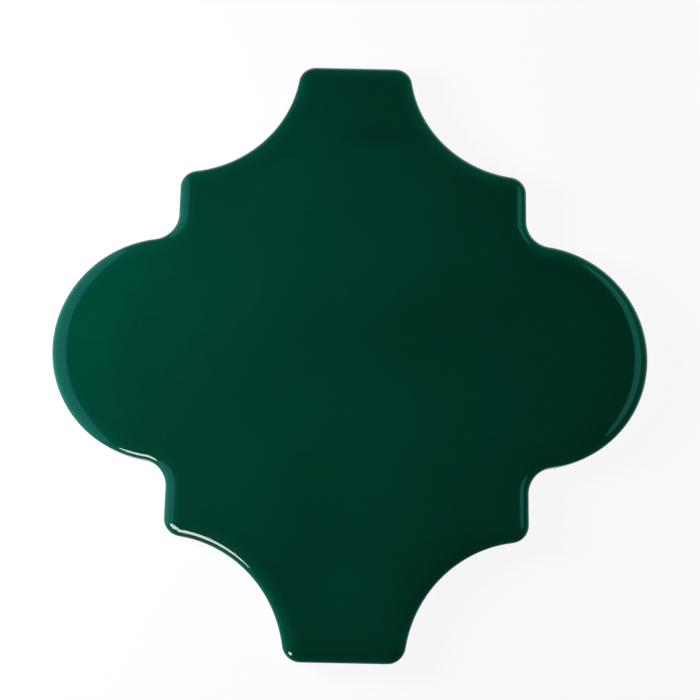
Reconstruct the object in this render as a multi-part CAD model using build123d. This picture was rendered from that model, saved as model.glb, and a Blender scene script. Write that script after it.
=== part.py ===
"""Lantern-shaped (arabesque) glazed wall tile, pressed and fired in one piece.

Millimetres. The tile lies on its back: the origin is the middle of the back face, +Z points up
through the glazed face, +Y runs along the necks and +X across the lobes. Its outline nests with
copies of itself, so the hollow beside each neck is a neighbour's lobe with the grout joint added.
"""

import os

from build123d import *

# Driving dimensions
WIDTH = 150.0  # from lobe tip to lobe tip
HEIGHT = 152.5  # from neck end to neck end
THICKNESS = 8.0
NECK_WIDTH = 29.0
STEP_HEIGHT = 18.0  # straight flank between a lobe and the shoulder above it, corners included
GROUT_JOINT = 2.0  # even gap to every neighbouring tile
EDGE_ROUND = 2.8  # rolled edge round the glazed face
FACE_CORNER = 1.7  # corner that is left on the flat face inside the rolled edge
STEP_FILLET = 6.8  # inner corner where a lobe meets its straight flank
BACK_ARRIS = 0.6  # small chamfer round the back face

# Sizes that follow from the nesting
corner_round = FACE_CORNER + EDGE_ROUND
lobe_radius = (HEIGHT / 2 - GROUT_JOINT / 2 - STEP_HEIGHT) / 2
lobe_x = WIDTH / 2 - lobe_radius
hollow_radius = lobe_radius + GROUT_JOINT
hollow_x = NECK_WIDTH / 2 + hollow_radius
hollow_y = (HEIGHT + GROUT_JOINT) / 2
flank_x = (WIDTH + NECK_WIDTH) / 4


def corner_vertices(sketch, low, high):
    """The sketch's corners on the two flanks whose distance from the middle line is in a range."""

    def on_flank(corner):
        return abs(abs(corner.X) - flank_x) < 0.01 and low < abs(corner.Y) < high

    return sketch.vertices().filter_by(on_flank)


def tile_outline():
    """Plan of the tile: a strip as wide as the flanks, less four hollows, plus two round lobes."""
    strip = Rectangle(2 * flank_x, HEIGHT)
    hollows = GridLocations(2 * hollow_x, 2 * hollow_y, 2, 2) * Circle(hollow_radius)
    lobes = PolarLocations(lobe_x, 2) * Circle(lobe_radius)
    plan = strip - hollows + lobes
    shoulder_y = hollow_y - hollow_radius
    mid_flank = (shoulder_y + lobe_radius) / 2
    neck_corners = plan.vertices().group_by(Axis.Y)[0] + plan.vertices().group_by(Axis.Y)[-1]
    plan = fillet(neck_corners, corner_round)
    plan = fillet(corner_vertices(plan, mid_flank, HEIGHT / 2), corner_round)
    return fillet(corner_vertices(plan, 0, mid_flank), STEP_FILLET)


def glazed_tile():
    """The fired tile: its plan raised to the full thickness, with a rolled face and an eased back."""
    body = extrude(tile_outline(), THICKNESS)
    body = chamfer(body.faces().sort_by(Axis.Z)[0].edges(), BACK_ARRIS)
    return fillet(body.faces().sort_by(Axis.Z)[-1].edges(), EDGE_ROUND)


os.makedirs("parts", exist_ok=True)
export_step(glazed_tile(), "parts/lantern_tile.step")
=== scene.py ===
"""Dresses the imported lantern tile: one glazed, fired piece lying on a white floor, seen from above.

Everything is in metres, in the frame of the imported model: +Z up through the glazed face, +Y along
the necks and +X across the lobes.
"""

import math

import bpy
import numpy as np
from mathutils import Matrix, Vector


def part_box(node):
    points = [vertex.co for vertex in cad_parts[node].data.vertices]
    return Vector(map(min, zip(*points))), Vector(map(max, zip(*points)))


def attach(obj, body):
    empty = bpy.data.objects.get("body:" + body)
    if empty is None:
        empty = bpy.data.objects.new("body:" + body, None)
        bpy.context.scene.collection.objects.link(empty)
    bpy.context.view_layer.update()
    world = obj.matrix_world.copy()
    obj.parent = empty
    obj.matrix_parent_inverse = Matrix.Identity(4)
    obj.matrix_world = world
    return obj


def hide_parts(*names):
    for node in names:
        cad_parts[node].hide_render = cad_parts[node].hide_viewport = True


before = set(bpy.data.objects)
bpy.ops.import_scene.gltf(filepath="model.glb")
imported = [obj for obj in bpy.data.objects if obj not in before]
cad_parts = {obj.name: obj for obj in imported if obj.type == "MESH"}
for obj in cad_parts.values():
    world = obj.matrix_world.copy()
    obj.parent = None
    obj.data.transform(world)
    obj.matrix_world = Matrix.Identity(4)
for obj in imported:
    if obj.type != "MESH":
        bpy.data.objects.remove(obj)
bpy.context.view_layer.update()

MM = 0.001
RIGHT_ANGLE, HALF_TURN, FULL_TURN = math.pi / 2, math.pi, 2 * math.pi

# Outline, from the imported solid's box and the sizes that its source names
tile_low, tile_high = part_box("lantern_tile")
WIDTH = tile_high[0] - tile_low[0]
HEIGHT = tile_high[1] - tile_low[1]
THICKNESS = tile_high[2]
NECK_WIDTH = 29.0 * MM
STEP_HEIGHT = 18.0 * MM
GROUT_JOINT = 2.0 * MM
CORNER_ROUND = 4.5 * MM
STEP_FILLET = 6.8 * MM
BACK_ARRIS = 0.6 * MM

lobe_radius = (HEIGHT / 2 - GROUT_JOINT / 2 - STEP_HEIGHT) / 2
lobe_x = WIDTH / 2 - lobe_radius
hollow_radius = lobe_radius + GROUT_JOINT
hollow_x = NECK_WIDTH / 2 + hollow_radius
hollow_y = (HEIGHT + GROUT_JOINT) / 2
flank_x = (WIDTH + NECK_WIDTH) / 4

# Glaze on the face and edge
FACE_SINK = 0.12 * MM  # the face's mean level lies this far under the box, as room for its waves
WAVE_HEIGHT = 0.035 * MM  # of the glaze's slow waves
WAVE_LENGTHS = (24 * MM, 60 * MM)
WAVE_COUNT = 14
ROLL_WIDTH = 4.0 * MM  # the rolled edge, in plan
ROLL_DEPTH = 2.0 * MM  # half-height of the ellipse that the roll follows
ROLL_SHARE = 0.94  # share of that ellipse's half-width that the roll uses, before its arris
ARRIS_ROUND = 0.3 * MM  # tight round between the roll and the edge wall
EASE_DEPTH = 0.10 * MM  # slow fall of the face towards the rolled edge
EASE_WIDTH = 4.5 * MM
WALL_DIP = 0.10 * MM  # the glaze coat is thinner half-way down the edge
GLAZE_STOP = 1.9 * MM  # height at which the glaze stops on the edge
GLAZE_STOP_WANDER = 0.35 * MM
STOP_HARMONICS = (5, 60)  # range of the wander's harmonics round the tile
LIP_ROUND = 0.28 * MM  # the glaze ends in a rounded lip as thick as this
BARE_INSET = 0.36 * MM  # the bare fired body lies this far inside the glaze
RANDOM_SEED = 7

face_level = THICKNESS - FACE_SINK
roll_turn = math.asin(ROLL_SHARE)
foot_slope = math.atan(ROLL_SHARE * ROLL_DEPTH / ROLL_WIDTH * math.tan(roll_turn))
arris_inset = ARRIS_ROUND * (1 - math.sin(foot_slope))

# Mesh density
EDGE_STEPS = 256  # along a quarter of the edge
TIGHT_ARC = 2.5 * MM  # arcs gain steps as this length over their radius
FACE_RINGS = 34
FACE_CROWDING = 1.6  # power by which the face's rings close up towards the rim
ROLL_RINGS = 22
ARRIS_RINGS = 5
RIM_INSET = 2.9 * MM  # rings run parallel to the edge this far in, then shrink towards the middle
SOFT_SPAN = (1.0 * MM, 2.6 * MM)  # insets over which the soft distance takes over from the inset
BLOCK_POINTS = 4000  # points whose distance is measured at a time
WALL_RINGS = 7
LIP_RINGS = 5
BACK_RINGS = 14

# Glaze colours, each with the largest share of it that shows over those before it
DEPTH_DARK, DEPTH_LIGHT = (0.0001, 0.0335, 0.0192, 1), (0.0001, 0.0415, 0.0240, 1)
# darker colour for a soft oval on the far neck
DARK_OVAL_COLOUR, DARK_OVAL_SHARE = (0.0001, 0.0200, 0.0120, 1), 0.35
THIN_COLOUR, THIN_SHARE = (0.0010, 0.0700, 0.0480, 1), 0.55
POOL_COLOUR, POOL_SHARE = (0.0002, 0.0200, 0.0125, 1), 0.08
CRACK_COLOUR, CRACK_SHARE = (0.0080, 0.0900, 0.0650, 1), 0.11

# Insets between which the glaze thins on the roll, and pools beside it
THIN_SPAN = (1.8 * MM, 0.2 * MM)
POOL_OUTER_SPAN, POOL_INNER_SPAN = (3.2 * MM, 4.6 * MM), (9 * MM, 5 * MM)

# Relief and roughness of the glaze and of the bare body
RIPPLE_HEIGHT = 0.0025 * MM
CRACK_DEPTH = 0.0025 * MM
PIT_DEPTH = 0.03 * MM
BODY_GRAIN_HEIGHT = 0.05 * MM
BODY_CLOUD_HEIGHT = 0.06 * MM
GLAZE_ROUGHNESS, CLOUD_ROUGHNESS, CRACK_ROUGHNESS = 0.03, 0.03, 0.10
BODY_ROUGHNESS, GRAIN_ROUGHNESS = 0.82, 0.12
NOISE_SPAN = (0.3, 0.7)  # range of cloudy noise that is stretched to 0 and 1

# Bare body colours
CLAY_DARK, CLAY_LIGHT = (0.60, 0.51, 0.39, 1), (0.74, 0.67, 0.55, 1)
SPECK_COLOUR, SPECK_SHARE = (0.30, 0.20, 0.12, 1), 0.5

# Light
WHITE = (1, 1, 1)
LEFT_SEA, RIGHT_SEA = (0.175, 0.74, 0.96), (0.11, 1.0, 0.80)
GLINT_RADIANCE = 16
FILL_SIZE, FILL_LEVEL, FILL_AIM = (0.30, 0.03), 0.022, 0.005
ROOM_TONE, HORIZON_TONE = (0.015, 0.015, 0.015, 1), (0.9, 0.9, 0.9, 1)
FLOOR_MATT, FLOOR_EVEN = (0.8, 0.8, 0.8, 1), (1, 1, 1, 1)
EVEN_SHARE = 0.9  # of the floor as the eye sees it; the rest takes the tile's shadow


def arc(x, y, radius, first, last, bulge):
    """A piece of the edge that is an arc about a centre that stands still."""
    return x, y, x, y, radius, first, last, bulge


def straight(start, end, heading):
    """A piece of the edge that is straight: no radius, and a normal with one heading."""
    return *start, *end, 0, heading, heading, 1


def edge_pieces():
    """The edge from the tip of the +X lobe to the middle of the +Y neck end, as seven pieces.

    A piece is a point on a circle whose centre slides from one place to another while its angle runs
    from a first to a last value. The last number is 1 where the edge bulges and -1 where it is hollow,
    which turns the normal round.
    """
    fillet_x = flank_x + STEP_FILLET
    fillet_y = math.sqrt((lobe_radius + STEP_FILLET) ** 2 - (fillet_x - lobe_x) ** 2)
    fillet_turn = math.atan2(fillet_y, fillet_x - lobe_x)
    shoulder_x = flank_x - CORNER_ROUND
    reach = hollow_radius + CORNER_ROUND
    shoulder_y = hollow_y - math.sqrt(reach**2 - (shoulder_x - hollow_x) ** 2)
    shoulder_turn = math.atan2(hollow_y - shoulder_y, hollow_x - shoulder_x)
    neck_y = HEIGHT / 2 - CORNER_ROUND
    neck_x = hollow_x - math.sqrt(reach**2 - (neck_y - hollow_y) ** 2)
    neck_turn = math.atan2(hollow_y - neck_y, hollow_x - neck_x)
    hollow_turns = shoulder_turn + HALF_TURN, neck_turn + HALF_TURN
    lobe = arc(lobe_x, 0, lobe_radius, 0, fillet_turn, 1)
    inner_corner = arc(fillet_x, fillet_y, STEP_FILLET, fillet_turn + HALF_TURN, HALF_TURN, -1)
    flank = straight((flank_x, fillet_y), (flank_x, shoulder_y), 0)
    shoulder = arc(shoulder_x, shoulder_y, CORNER_ROUND, 0, shoulder_turn, 1)
    hollow = arc(hollow_x, hollow_y, hollow_radius, *hollow_turns, -1)
    neck_corner = arc(neck_x, neck_y, CORNER_ROUND, neck_turn, RIGHT_ANGLE, 1)
    neck_end = straight((neck_x, HEIGHT / 2), (0, HEIGHT / 2), RIGHT_ANGLE)
    return np.array([lobe, inner_corner, flank, shoulder, hollow, neck_corner, neck_end])


def edge_curve(steps):
    """Points and outward normals all round the edge, counter-clockwise, four times `steps` of them.

    The steps are even along each piece and closer on tight arcs. One quarter is worked out, and the
    others are its mirror images.
    """
    pieces = edge_pieces()
    x0, y0, x1, y1, radius, first, last, _ = pieces.T
    arc_weight = np.abs(last - first) * (radius + np.where(radius > 0, TIGHT_ARC, 0))
    weights = np.hypot(x1 - x0, y1 - y0) + arc_weight
    marks = np.concatenate([[0], np.cumsum(weights)])
    place = np.linspace(0, marks[-1], steps + 1)
    which = np.clip(np.searchsorted(marks, place, side="right") - 1, 0, len(pieces) - 1)
    part = ((place - marks[which]) / weights[which])[:, None]
    start, end = pieces[which, 0:2], pieces[which, 2:4]
    radius, first, last, bulge = pieces[which, 4:8, None].transpose(1, 0, 2)
    turn = first + part * (last - first)
    ray = np.hstack([np.cos(turn), np.sin(turn)])
    points, normals = start + part * (end - start) + radius * ray, bulge * ray
    half = [np.vstack([a[:-1], a[:0:-1] * (-1, 1)]) for a in (points, normals)]
    return [np.vstack([a, -a]) for a in half]


def edge_distance(points, edge, sharpness=14):
    """Soft distance from each point to the edge: a high negative power mean over the edge's length.

    It is the plain distance along a straight run, and it rounds off the creases that the plain
    distance has on the lines between two equally near stretches.
    """
    steps = np.linalg.norm(np.roll(edge, -1, 0) - np.roll(edge, 1, 0), axis=1) / 2
    norm = math.sqrt(math.pi) * math.gamma((sharpness - 1) / 2) / math.gamma(sharpness / 2)
    soft = []
    for block in np.array_split(points, max(1, len(points) // BLOCK_POINTS)):
        squares = ((block[:, None] - edge[None]) ** 2).sum(-1) / MM**2
        total = (squares ** (-sharpness / 2) * (steps / MM)).sum(1) / norm
        soft.append(total ** (-1 / (sharpness - 1)) * MM)
    return np.concatenate(soft)


def smooth_step(low, high, value):
    """0 below low and 1 above high, with a smooth S between them."""
    t = np.clip((value - low) / (high - low), 0, 1)
    return t * t * (3 - 2 * t)


def roll_drop(inset):
    """How far the glaze lies under the face at an inset from the arris: part of a quarter ellipse, plus
    an easing that dies away like a bell curve."""
    t = ROLL_SHARE * np.clip(1 - inset / ROLL_WIDTH, 0, 1)
    return ROLL_DEPTH * (1 - np.sqrt(1 - t * t)) + EASE_DEPTH * np.exp(-((inset / EASE_WIDTH) ** 2))


def slow_waves(points, random):
    """Waves of the glaze's surface: plane waves with random headings and lengths, added up and evened
    out by the root of their number."""
    heading = random.uniform(0, FULL_TURN, WAVE_COUNT)
    number = FULL_TURN / random.uniform(*WAVE_LENGTHS, WAVE_COUNT)
    phase = random.uniform(0, FULL_TURN, WAVE_COUNT)
    along = points @ np.stack([np.cos(heading), np.sin(heading)])
    return WAVE_HEIGHT * np.sin(along * number + phase).sum(1) / math.sqrt(WAVE_COUNT)


def wander(count, random, lowest, highest):
    """A closed line of random wander, about -1 to 1: harmonics that weaken as they get finer."""
    order = np.arange(lowest, highest)
    angle = np.linspace(0, FULL_TURN, count, endpoint=False)[:, None] * order
    phase = random.uniform(0, FULL_TURN, len(order))
    strength = 1 / np.sqrt(order)
    return (np.sin(angle + phase) * strength).sum(1) / np.linalg.norm(strength)


def face_plan(edge, normal):
    """Plan of the face and its rolled edge, as rings from the middle outwards, and each ring's inset.

    The face's rings are the rim line shrunk towards the middle, in closer steps near the rim. The
    roll's are parallel to the edge, in even turns of the ellipse, down to the arris.
    """
    rim = edge - RIM_INSET * normal
    shrink = 1 - np.linspace(1, 0, FACE_RINGS + 1)[1:-1] ** FACE_CROWDING
    face = rim * shrink[:, None, None]
    first_turn = math.asin(ROLL_SHARE * (1 - (RIM_INSET - arris_inset) / ROLL_WIDTH))
    turn = np.linspace(first_turn, roll_turn, ROLL_RINGS)
    inset = arris_inset + ROLL_WIDTH * (1 - np.sin(turn) / ROLL_SHARE)
    roll = edge - inset[:, None, None] * normal
    return np.concatenate([face, roll]), np.concatenate([np.full(len(face), RIM_INSET), inset])


def glazed_top(edge, normal, random):
    """The face and its roll as rings of points, and each point's distance from the edge.

    The distance is the ring's own inset near the edge and the soft distance further in. The height is
    the face's level, less the roll's drop at that distance, plus waves that die out on the roll.
    """
    plan, insets = face_plan(edge, normal)
    flat = plan.reshape(-1, 2)
    inset = np.repeat(insets, len(edge))
    fine_edge, _ = edge_curve(2 * EDGE_STEPS)
    inner = slice(0, len(flat) - len(edge))
    soft = np.zeros(len(flat))
    soft[inner] = edge_distance(flat[inner], fine_edge)
    distance = inset + smooth_step(*SOFT_SPAN, inset) * (soft - inset)
    waves = slow_waves(flat, random) * smooth_step(0, ROLL_WIDTH, distance)
    height = face_level - roll_drop(distance - arris_inset) + waves
    top = np.concatenate([flat, height[:, None]], 1)
    return top.reshape(*plan.shape[:2], 3), distance.reshape(plan.shape[:2])


def edge_side(edge, normal, roll_foot, random):
    """The side of the tile as rings from the roll's foot to the back, each an inset and a height.

    The arris goes on turning from the roll's slope to upright. The wall goes down to the wandering line
    where the glaze stops, with a shallow dip that follows a squared sine. The lip is a quarter circle
    that turns in under the glaze. The bare body goes straight down to the chamfer round the back.
    """
    turn = np.linspace(foot_slope, RIGHT_ANGLE, ARRIS_RINGS + 1)[1:, None]
    arris = ARRIS_ROUND * (1 - np.sin(turn))
    arris_height = roll_foot - ARRIS_ROUND * (math.cos(foot_slope) - np.cos(turn))
    stop = GLAZE_STOP + GLAZE_STOP_WANDER * wander(len(edge), random, *STOP_HARMONICS)
    part = np.linspace(0, 1, WALL_RINGS + 1)[1:, None]
    wall = WALL_DIP * np.sin(math.pi * part) ** 2
    wall_height = arris_height[-1] + part * (stop + LIP_ROUND - arris_height[-1])
    turn = np.linspace(0, RIGHT_ANGLE, LIP_RINGS + 1)[1:, None]
    lip = LIP_ROUND * (1 - np.cos(turn))
    lip_height = stop + LIP_ROUND * (1 - np.sin(turn))
    bare = BARE_INSET + BACK_ARRIS * np.array([0, 0, 0, 1])[:, None]
    stop_share = np.array([1, 0.5, 0, 0])[:, None]
    bare_height = BACK_ARRIS * np.array([0, 0, 1, 0])[:, None] + stop_share * stop
    inset = np.concatenate([arris, wall, lip, bare])[..., None]
    height = np.concatenate([arris_height, wall_height, lip_height, bare_height])[..., None]
    return np.concatenate([edge - inset * normal, height], 2)


def tile_rings():
    """The tile's surface as rings from the middle of the face to the middle of the back.

    Returns the rings as an array (ring, step round, xyz), each ring point's inset from the edge, its
    place on the unrolled glaze, and the number of the ring where the glaze stops. The back is the last
    line of the side, shrunk towards the middle. The glaze is unrolled by pushing each point outwards,
    in plan, by as much as it lies under the face.
    """
    random = np.random.default_rng(RANDOM_SEED)
    edge, normal = edge_curve(EDGE_STEPS)
    top, distance = glazed_top(edge, normal, random)
    side = edge_side(edge, normal, top[-1, :, 2], random)
    back = side[-1] * np.linspace(1, 0, BACK_RINGS + 1)[1:-1, None, None]
    rings = np.concatenate([top, side, back])
    insets = np.zeros(rings.shape[:2])
    insets[: len(top)] = distance
    unrolled = np.zeros(rings.shape)
    unrolled[..., :2] = rings[..., :2] + normal * (face_level - rings[..., 2:])
    return rings, insets, unrolled, len(top) + ARRIS_RINGS + WALL_RINGS + LIP_RINGS - 1


def closed_mesh(name, rings, insets, unrolled, glaze_stop, materials):
    """A mesh from closed rings, with one point at each end and quads between neighbouring rings.

    Faces beyond ring `glaze_stop` take the second material. The inset and the place on the unrolled
    glaze go into point attributes.
    """
    count, steps = rings.shape[:2]
    points = np.concatenate([rings.reshape(-1, 3), rings[[0, -1]].mean(1)])
    number = np.arange(count * steps).reshape(count, steps)
    after = np.roll(number, -1, 1)
    quads = np.stack([number[:-1], number[1:], after[1:], after[:-1]], -1).reshape(-1, 4)
    first, last = len(points) - 2, len(points) - 1
    cap = np.stack([np.full(steps, first), number[0], after[0]], -1)
    base = np.stack([np.full(steps, last), after[-1], number[-1]], -1)
    mesh = bpy.data.meshes.new(name)
    mesh.from_pydata(points.tolist(), [], cap.tolist() + quads.tolist() + base.tolist())
    ring_of_face = np.repeat(np.arange(-1, count), steps)
    mesh.polygons.foreach_set("material_index", (ring_of_face >= glaze_stop).astype(np.int32))
    mesh.polygons.foreach_set("use_smooth", np.ones(len(mesh.polygons), bool))
    depth = mesh.attributes.new("edge_inset", "FLOAT", "POINT")
    depths = np.append(insets.ravel(), insets[[0, -1]].mean(1))
    depth.data.foreach_set("value", depths.astype(np.float32))
    places = mesh.attributes.new("glaze_place", "FLOAT_VECTOR", "POINT")
    flat = np.concatenate([unrolled.reshape(-1, 3), unrolled[[0, -1]].mean(1)])
    places.data.foreach_set("vector", flat.ravel().astype(np.float32))
    for material in materials:
        mesh.materials.append(material)
    mesh.update()
    piece = bpy.data.objects.new(name, mesh)
    bpy.context.collection.objects.link(piece)
    return piece


class Value:
    """One socket of a node tree. Arithmetic with sockets and numbers adds Math nodes."""

    def __init__(self, tree, socket=None):
        self.tree = tree
        self.socket = socket

    def node(self, kind, settings, sockets, output=0):
        """Adds a node of a kind, sets its settings, then its sockets, and gives one of its outputs."""
        made = self.tree.nodes.new("ShaderNode" + kind)
        for name, setting in settings.items():
            setattr(made, name, setting)
        for name, value in sockets.items():
            if isinstance(value, Value):
                self.tree.links.new(value.socket, made.inputs[name])
            else:
                made.inputs[name].default_value = value
        return Value(self.tree, made.outputs[output])

    def math(self, operation, *values):
        """A Math node on sockets and numbers."""
        return self.node("Math", {"operation": operation}, dict(enumerate(values)))

    def __add__(self, other):
        return self.math("ADD", self, other)

    def __sub__(self, other):
        return self.math("SUBTRACT", self, other)

    def __rsub__(self, other):
        return self.math("SUBTRACT", other, self)

    def __mul__(self, other):
        return self.math("MULTIPLY", self, other)

    __radd__ = __add__
    __rmul__ = __mul__

    def larger(self, other):
        """The larger of this value and another."""
        return self.math("MAXIMUM", self, other)

    def vector(self, operation, other, output=0):
        """A Vector Math node on this vector and another, or a number to scale it by."""
        sockets = {0: self, "Scale" if operation == "SCALE" else 1: other}
        return self.node("VectorMath", {"operation": operation}, sockets, output)

    def step(self, low, high):
        """0 below low and 1 above high, or the other way round, with a smooth S between them."""
        settings = {"interpolation_type": "SMOOTHSTEP"}
        return self.node("MapRange", settings, {"Value": self, "From Min": low, "From Max": high})

    def noise(self, size, detail=2.0, roughness=0.5):
        """Cloudy noise on a vector, about 0.5, with features of a size in metres."""
        sockets = {"Vector": self, "Scale": 1 / size, "Detail": detail, "Roughness": roughness}
        return self.node("TexNoise", {}, sockets)

    def spots(self, spacing, rim, core):
        """Round spots on a vector, about one to a spacing: 1 within the core and 0 beyond the rim, which
        are shares of the spacing."""
        return self.node("TexVoronoi", {}, {"Vector": self, "Scale": 1 / spacing}).step(rim, core)

    def mix(self, first, second):
        """A colour that goes from the first to the second as this value goes from 0 to 1."""
        return self.node("Mix", {"data_type": "RGBA"}, {0: self, 6: first, 7: second}, 2)


def new_material(name):
    """An empty node material, with its tree wrapped."""
    material = bpy.data.materials.new(name)
    material.use_nodes = True
    material.node_tree.nodes.clear()
    return material, Value(material.node_tree)


def close_tree(shader, kind):
    """Joins a shader to an output node of a kind, which ends its tree."""
    output = shader.tree.nodes.new("ShaderNodeOutput" + kind)
    shader.tree.links.new(shader.socket, output.inputs["Surface"])


def ceramic(start, colour, roughness, ior, relief, bump):
    """A fired surface: a colour, a roughness and a refractive index, with its fine relief as bumps."""
    normal = start.node("Bump", {}, {"Strength": bump, "Distance": 1.0, "Height": relief})
    sockets = {"Base Color": colour, "Roughness": roughness, "IOR": ior, "Normal": normal}
    return start.node("BsdfPrincipled", {}, sockets)


def crack_lines(place, cell, width, bend):
    """Hairline cracks: the borders of irregular flat cells, with their places bent by noise.

    The noise has features four cells wide. A line is full over a quarter of its width.
    """
    sockets = {"Vector": place, "Scale": 1 / (4 * cell), "Detail": 2.0}
    swirl = place.node("TexNoise", {"noise_dimensions": "2D"}, sockets, "Color")
    pushed = swirl.vector("SUBTRACT", (0.5, 0.5, 0.5)).vector("SCALE", bend)
    sockets = {"Vector": place.vector("ADD", pushed), "Scale": 1 / cell}
    settings = {"feature": "DISTANCE_TO_EDGE", "voronoi_dimensions": "2D"}
    border = place.node("TexVoronoi", settings, sockets)
    return border.step(width / cell, 0.25 * width / cell)


def neck_dark_oval(place, clouds):
    """A soft flat oval on the far neck, darker than the glaze round it, with a cloudy rim.

    The distance from its centre is counted in half-sizes, and the clouds push it out unevenly.
    """
    centre, half_size = (5 * MM, 57 * MM, 0), (15 * MM, 6 * MM, 1)
    away = place.vector("SUBTRACT", centre).vector("DIVIDE", half_size)
    reach = away.node("VectorMath", {"operation": "LENGTH"}, {0: away}, "Value")
    rim, core, push = 1.25, 0.35, 0.5
    return (reach + clouds * push).step(rim, core)


def green_glaze():
    """Deep green glossy glaze: cloudy depth, lighter where it thins on the rolled edge, darker where it
    pools beside it, with a fine crackle, a few pinholes and a very slight ripple."""
    material, start = new_material("green_crackle_glaze")
    place = start.node("TexCoord", {}, {}, "Object")
    inset = start.node("Attribute", {"attribute_name": "edge_inset"}, {}, "Fac")
    unrolled = start.node("Attribute", {"attribute_name": "glaze_place"}, {}, "Vector")
    clouds = place.noise(34 * MM, detail=3.0, roughness=0.45)
    grain = place.noise(2.2 * MM, detail=3.0, roughness=0.6)
    thin = inset.step(*THIN_SPAN)
    pool = inset.step(*POOL_OUTER_SPAN) * inset.step(*POOL_INNER_SPAN)
    coarse_cracks = crack_lines(unrolled, cell=8.5 * MM, width=0.11 * MM, bend=5.0 * MM)
    fine_cracks = crack_lines(unrolled, cell=3.6 * MM, width=0.09 * MM, bend=2.2 * MM)
    patch_low, patch_high, fine_share = 0.42, 0.6, 0.7
    patches = place.noise(16 * MM).step(patch_low, patch_high)
    cracks = coarse_cracks.larger(fine_cracks * patches * fine_share)
    dark_oval = neck_dark_oval(place, clouds)
    pits = place.spots(9 * MM, rim=0.022, core=0.008)
    ripple = place.noise(5 * MM, detail=1.0)
    cloud_share, grain_share = 0.8, 0.2
    depth = clouds.step(*NOISE_SPAN) * cloud_share + grain * grain_share
    colour = depth.mix(DEPTH_DARK, DEPTH_LIGHT)
    # darkens the glaze in a soft oval on the far neck
    colour = (dark_oval * DARK_OVAL_SHARE).mix(colour, DARK_OVAL_COLOUR)
    colour = (thin * THIN_SHARE).mix(colour, THIN_COLOUR)
    colour = (pool * POOL_SHARE).mix(colour, POOL_COLOUR)
    colour = (cracks * CRACK_SHARE).mix(colour, CRACK_COLOUR)
    relief = ripple * RIPPLE_HEIGHT - cracks * CRACK_DEPTH - pits * PIT_DEPTH
    roughness = GLAZE_ROUGHNESS + CLOUD_ROUGHNESS * clouds + CRACK_ROUGHNESS * cracks
    close_tree(ceramic(start, colour, roughness, ior=1.5, relief=relief, bump=1.0), "Material")
    return material


def fired_body():
    """Bare fired clay: chalky cream, with soft clouds, fine grain and a few brown specks."""
    material, start = new_material("pale_fired_body")
    place = start.node("TexCoord", {}, {}, "Object")
    clouds = place.noise(22 * MM, detail=4.0, roughness=0.55)
    grain = place.noise(0.7 * MM, detail=4.0, roughness=0.7)
    specks = place.spots(3.4 * MM, rim=0.09, core=0.05)
    cloud_share, grain_share = 0.7, 0.3
    tone = clouds * cloud_share + grain * grain_share
    colour = tone.step(*NOISE_SPAN).mix(CLAY_DARK, CLAY_LIGHT)
    colour = (specks * SPECK_SHARE).mix(colour, SPECK_COLOUR)
    relief = grain * BODY_GRAIN_HEIGHT + clouds * BODY_CLOUD_HEIGHT
    roughness = BODY_ROUGHNESS + GRAIN_ROUGHNESS * grain
    close_tree(ceramic(start, colour, roughness, ior=1.4, relief=relief, bump=0.8), "Material")
    return material


def floor_paint():
    """White floor: mostly an even white to the eye and in reflections, and a matt white to the lamps,
    so that it keeps the tile's soft shadow."""
    material, start = new_material("white_floor")
    to_eye = start.node("LightPath", {}, {}, "Is Camera Ray")
    rays = to_eye.socket.node.outputs
    in_gloss = Value(start.tree, rays["Is Glossy Ray"])
    through = Value(start.tree, rays["Is Transmission Ray"])
    seen = to_eye.larger(in_gloss).larger(through)
    matt = start.node("BsdfDiffuse", {}, {"Color": FLOOR_MATT})
    even = start.node("Emission", {}, {"Color": FLOOR_EVEN, "Strength": 1.0})
    close_tree(start.node("MixShader", {}, {0: seen * EVEN_SHARE, 1: matt, 2: even}), "Material")
    return material


def lay_floor():
    """A square of floor under the tile."""
    half, level = 4.0, -0.2 * MM
    corners = [(-half, -half, level), (half, -half, level), (half, half, level), (-half, half, level)]
    mesh = bpy.data.meshes.new("floor")
    mesh.from_pydata(corners, [], [(0, 1, 2, 3)])
    mesh.materials.append(floor_paint())
    floor = bpy.data.objects.new("floor", mesh)
    bpy.context.collection.objects.link(floor)


def hang_lamp(name, shape, centre, target, size, radiance, colour, gloss):
    """A flat lamp at a centre, facing a target, as bright as `radiance` all over. It either shows in the
    gloss only or lights matt surfaces and the glaze's depth only."""
    lamp = bpy.data.lights.new(name, "AREA")
    lamp.shape, lamp.color = shape, colour
    lamp.size, lamp.size_y = size
    area = lamp.size * lamp.size_y * (math.pi / 4 if shape == "ELLIPSE" else 1)
    lamp.energy = radiance * math.pi * area
    holder = bpy.data.objects.new(name, lamp)
    aim = (Vector(target) - Vector(centre)).to_track_quat("-Z", "Y")
    holder.matrix_world = Matrix.Translation(centre) @ aim.to_matrix().to_4x4()
    holder.visible_camera = False
    holder.visible_diffuse = not gloss
    holder.visible_glossy = gloss
    bpy.context.collection.objects.link(holder)


def gloss_lamp(name, centre, target, size, radiance, colour=WHITE):
    """An oval lamp that shows in the gloss."""
    hang_lamp(name, "ELLIPSE", centre, target, size, radiance, colour, gloss=True)


def depth_lamp(name, centre, target, size, radiance):
    """A square-cornered lamp that lights matt surfaces and the glaze's depth."""
    hang_lamp(name, "RECTANGLE", centre, target, size, radiance, WHITE, gloss=False)


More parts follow.
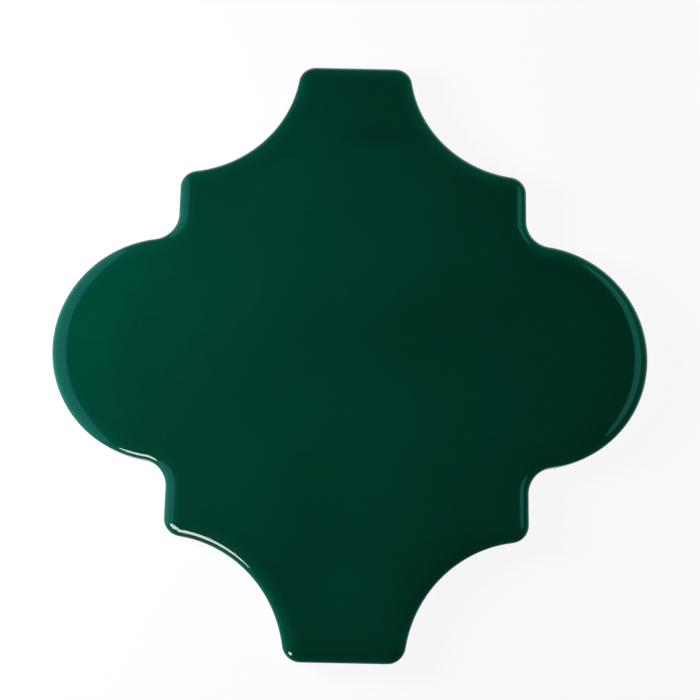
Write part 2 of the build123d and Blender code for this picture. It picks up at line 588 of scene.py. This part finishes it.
def light_the_gloss():
    """Two tinted walls for the soft crescents on the lobes, and three small lamps for the short glints on
    the near left hollow, lobe and neck corner."""
    gloss_lamp("left_wall", (-0.122, 0.027, 0.074), (0, 0.027, 0.074), (0.234, 0.150), 1.08, LEFT_SEA)
    gloss_lamp("right_wall", (0.164, 0.057, 0.142), (0.02, 0.057, -0.011), (0.254, 0.073), 1.15, RIGHT_SEA)
    for name, centre, target, size in (
        ("hollow_lamp", (-0.0463, -0.0670, 0.0270), (-0.0312, -0.0473, 0.0076), (0.0116, 0.0077)),
        ("lobe_lamp", (-0.0679, -0.0658, 0.0412), (-0.0516, -0.0250, 0.0076), (0.0324, 0.0144)),
        ("corner_lamp", (-0.0325, -0.0947, 0.0281), (-0.0115, -0.0728, 0.0076), (0.0088, 0.0104)),
    ):
        gloss_lamp(name, centre, target, size, GLINT_RADIANCE)


def light_the_depth():
    """A key from the left, three low fills that lift the rolled edges more than the face, and a faint
    ceiling."""
    depth_lamp("key", (-0.215, 0.02, 0.14), (0, 0, 0), (0.10, 0.10), 34.5)
    for name, (x, y), (aim_x, aim_y), radiance in (
        ("far_fill", (0.22, 0.34), (0.02, 0.02), 85),
        ("right_fill", (0.41, -0.05), (0.05, 0), 50),
        ("near_fill", (-0.36, -0.18), (-0.02, -0.04), 50),
    ):
        depth_lamp(name, (x, y, FILL_LEVEL), (aim_x, aim_y, FILL_AIM), FILL_SIZE, radiance)
    depth_lamp("ceiling", (0, 0, 0.80), (0, 0, 0), (1.0, 1.0), 0.03)


def dim_room():
    """A dim room with a white horizon, which fades out as the view rises."""
    world = bpy.data.worlds.new("room")
    world.use_nodes = True
    world.node_tree.nodes.clear()
    start = Value(world.node_tree)
    heading = start.node("TexCoord", {}, {}, "Generated")
    rise = start.node("SeparateXYZ", {}, {0: heading}, "Z")
    fade_end, fade_start = 0.12, 0.03
    colour = rise.step(fade_end, fade_start).mix(ROOM_TONE, HORIZON_TONE)
    close_tree(start.node("Background", {}, {"Color": colour, "Strength": 1.0}), "World")
    bpy.context.scene.world = world


def place_camera():
    """Almost straight above, a little towards the near neck and turned a little about its own axis."""
    distance, tilt, roll = 2.0 * WIDTH, math.radians(11.3), math.radians(1.2)
    shown = 1.17 * WIDTH  # width of the picture at the tile
    target = Vector((0, 0, THICKNESS))
    camera = bpy.data.cameras.new("camera")
    camera.lens = camera.sensor_width * distance / shown
    camera.clip_start, camera.clip_end = 0.01, 20
    holder = bpy.data.objects.new("camera", camera)
    turn = Matrix.Rotation(tilt, 4, "X") @ Matrix.Rotation(roll, 4, "Z")
    back = Vector((0, -math.sin(tilt), math.cos(tilt))) * distance
    holder.matrix_world = Matrix.Translation(target + back) @ turn
    bpy.context.collection.objects.link(holder)
    bpy.context.scene.camera = holder


finishes = [green_glaze(), fired_body()]
tile = closed_mesh("glazed_lantern_tile", *tile_rings(), finishes)
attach(tile, "root")
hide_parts("lantern_tile")
lay_floor()
light_the_gloss()
light_the_depth()
dim_room()
place_camera()
bpy.context.scene.view_settings.view_transform = "Standard"
